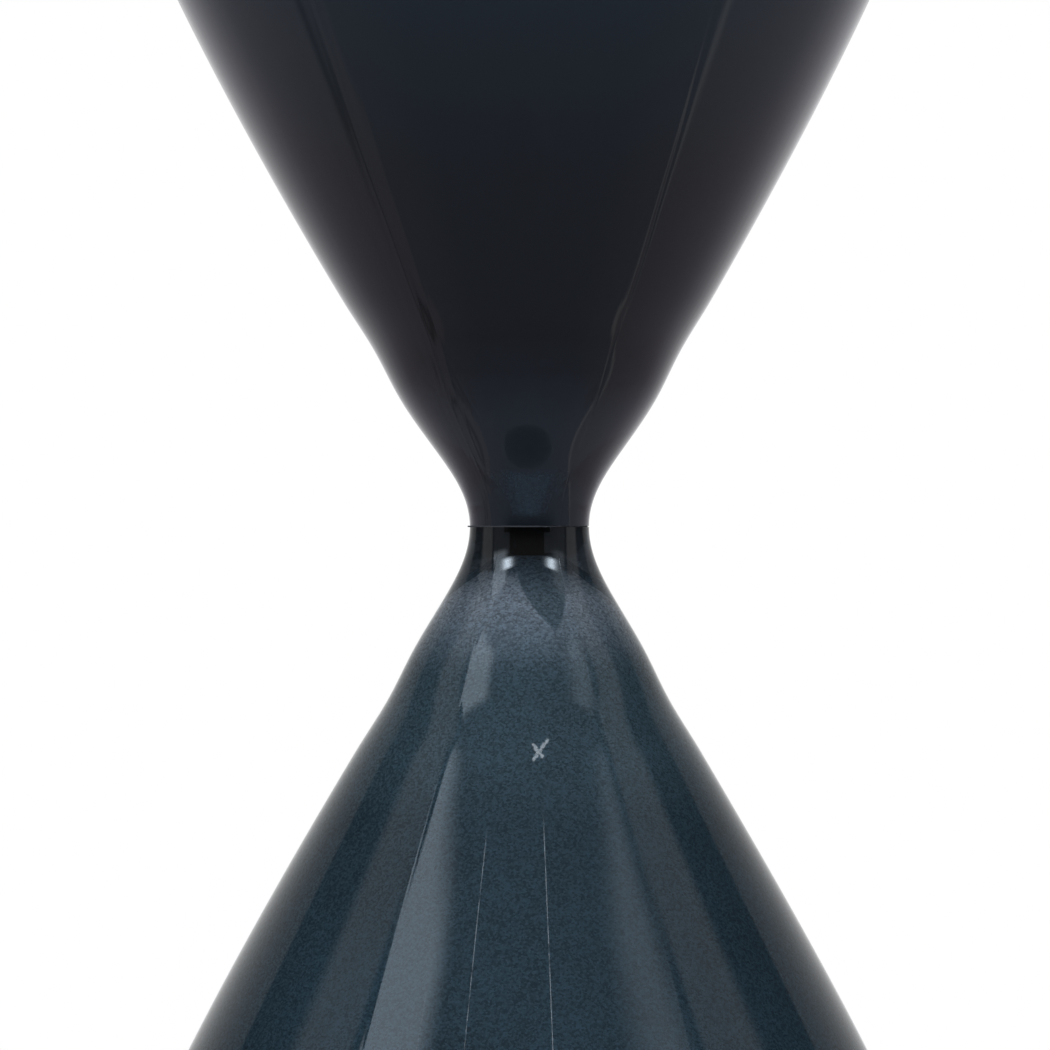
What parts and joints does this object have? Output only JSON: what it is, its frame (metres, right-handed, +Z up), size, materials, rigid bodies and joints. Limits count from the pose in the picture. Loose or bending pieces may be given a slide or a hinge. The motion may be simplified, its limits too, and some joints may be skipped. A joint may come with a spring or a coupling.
{
  "type": "hourglass",
  "caption": "Frameless hourglass: conical blown glass bulbs joined at a thick waist, dark blue sand filling the lower bulb, standing on either flat end.",
  "frame": {"origin": "middle of the foot that it stands on, at the height of the surface below it", "axes": "+Z is up along the axis of the two bulbs, which is the axis of symmetry and the longest extent; the body is round, so +X and +Y are any two horizontal directions"},
  "size_m": [0.124, 0.124, 0.25],
  "materials": {
    "upper_glass": "blown glass, deep smoked blue, glossy, faint draw lines",
    "lower_glass": "blown glass, deep smoked blue, glossy, faint draw lines",
    "insert": "black rubber bush, matt",
    "cement": "clear cured cement film",
    "sand": "fine dyed grains, dark teal blue, matt with pale specks",
    "stopper": "moulded silicone, satin",
    "sealant": "clear silicone bead, wiped"
  },
  "bodies": {
    "root": {"upper_bulb": "upper_glass", "lower_bulb": "lower_glass", "orifice_insert": "insert", "waist_cement": "cement", "sand": "sand", "fill_stopper": "stopper", "stopper_seal": "sealant"}
  },
  "joints": []
}
